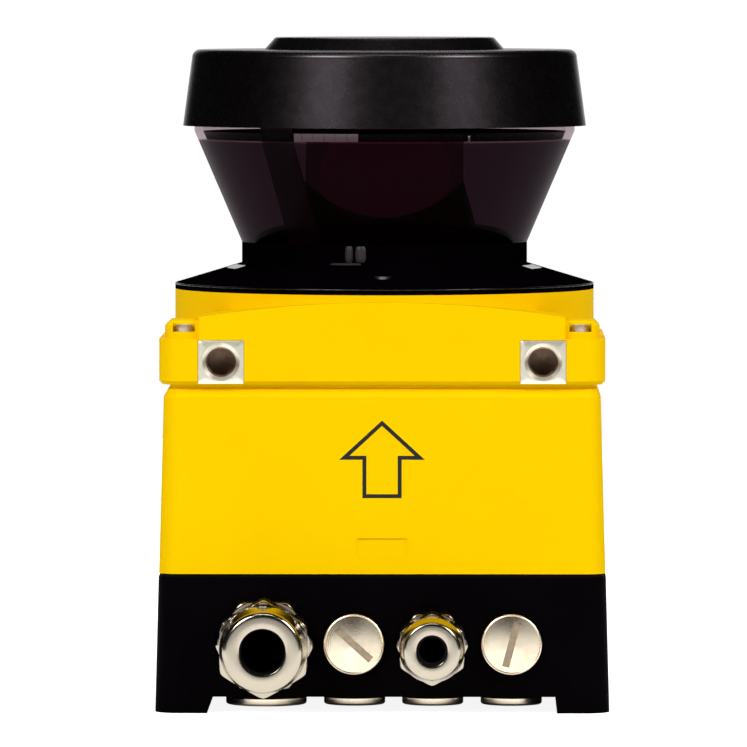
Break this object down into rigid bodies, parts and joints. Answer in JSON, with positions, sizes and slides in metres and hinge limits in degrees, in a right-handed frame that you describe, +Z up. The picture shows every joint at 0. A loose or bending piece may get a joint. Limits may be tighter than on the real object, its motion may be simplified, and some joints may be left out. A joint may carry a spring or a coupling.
{
  "type": "safety laser scanner",
  "caption": "Safety laser scanner: a mirror spins under a tinted cone window on a yellow housing, with a black cable box, glands and threaded mounting blocks.",
  "frame": {"origin": "middle of the bounding box at the underside of the feet", "axes": "+Z up along the mirror's axis, -Y towards the rear face with the glands, +X to the right seen from the rear"},
  "size_m": [0.102, 0.1291, 0.151],
  "materials": {
    "housing_yellow": "fine moulded satin",
    "box_black": "fine moulded satin",
    "cap_black": "satin",
    "collar_black": "glossy",
    "inner_black": "matt",
    "window_tint": "glossy, tinted dark red",
    "display_tint": "glossy",
    "rubber": "matt",
    "nickel": "turned, nickel plated",
    "zinc": "cast, lightly blasted",
    "steel": "bright",
    "cast_alloy": "machined",
    "laminations": "stacked sheet",
    "copper": "enamelled wire",
    "brass": "turned",
    "magnet": "sintered",
    "board_green": "solder mask",
    "terminal_green": "moulded",
    "mirror_coat": "polished",
    "lens_glass": "polished",
    "target_grey": "matt",
    "print_black": "printed",
    "ribbon": "film"
  },
  "bodies": {
    "housing": {"system_plug_housing": "box_black", "plug_board": "board_green", "terminal_block": "terminal_green", "system_plug_screws": "steel", "large_gland_body": "nickel", "large_gland_sleeve": "rubber", "large_gland_nut": "nickel", "small_gland_body": "nickel", "small_gland_sleeve": "rubber", "small_gland_nut": "nickel", "small_blanking_plugs": "nickel", "large_blanking_plug": "nickel", "entry_seals": "rubber", "plug_gasket": "rubber", "lower_housing": "housing_yellow", "io_board": "board_green", "main_board": "board_green", "board_standoffs": "brass", "board_screws": "steel", "config_socket": "nickel", "config_cap": "box_black", "rear_mark": "print_black", "housing_gasket": "rubber", "upper_housing": "housing_yellow", "rear_mount_left": "zinc", "rear_mount_right": "zinc", "side_mount_left": "zinc", "side_mount_right": "zinc", "housing_screws": "steel", "display_window": "display_tint", "display_board": "board_green", "optics_chassis": "cast_alloy", "optics_screws": "steel", "motor_base": "cast_alloy", "stator_core": "laminations", "stator_coils": "copper", "bearing_outer_races": "steel", "encoder_sensor": "inner_black", "optics_base": "inner_black", "collar": "collar_black", "collar_screws": "steel", "optics_window": "window_tint", "window_seals": "rubber", "window_ring": "inner_black", "reference_target": "target_grey", "cap": "cap_black", "optics_head": "inner_black", "receiver_lens": "lens_glass", "laser_module": "brass", "receiver_board": "board_green", "flex_cable": "ribbon"},
    "mirror_rotor": {"motor_shaft": "steel", "rotor_bell": "steel", "rotor_magnets": "magnet", "bearing_inner_races": "steel", "mirror_carrier": "inner_black", "scan_mirror": "mirror_coat", "encoder_disc": "steel"},
    "ball_set": {"bearing_balls": "steel", "ball_cages": "brass"}
  },
  "joints": [
    {"name": "mirror_spin", "type": "hinge", "parent": "housing", "child": "mirror_rotor", "pos_m": [0, 0.0121, 0.1], "axis": [0, 0, 1], "continuous": true},
    {"name": "ball_spin", "type": "hinge", "parent": "housing", "child": "ball_set", "pos_m": [0, 0.0121, 0.1], "axis": [0, 0, 1], "continuous": true}
  ],
  "couplings": [
    {"joint": "ball_spin", "follows": "mirror_spin", "ratio": 0.3722}
  ]
}
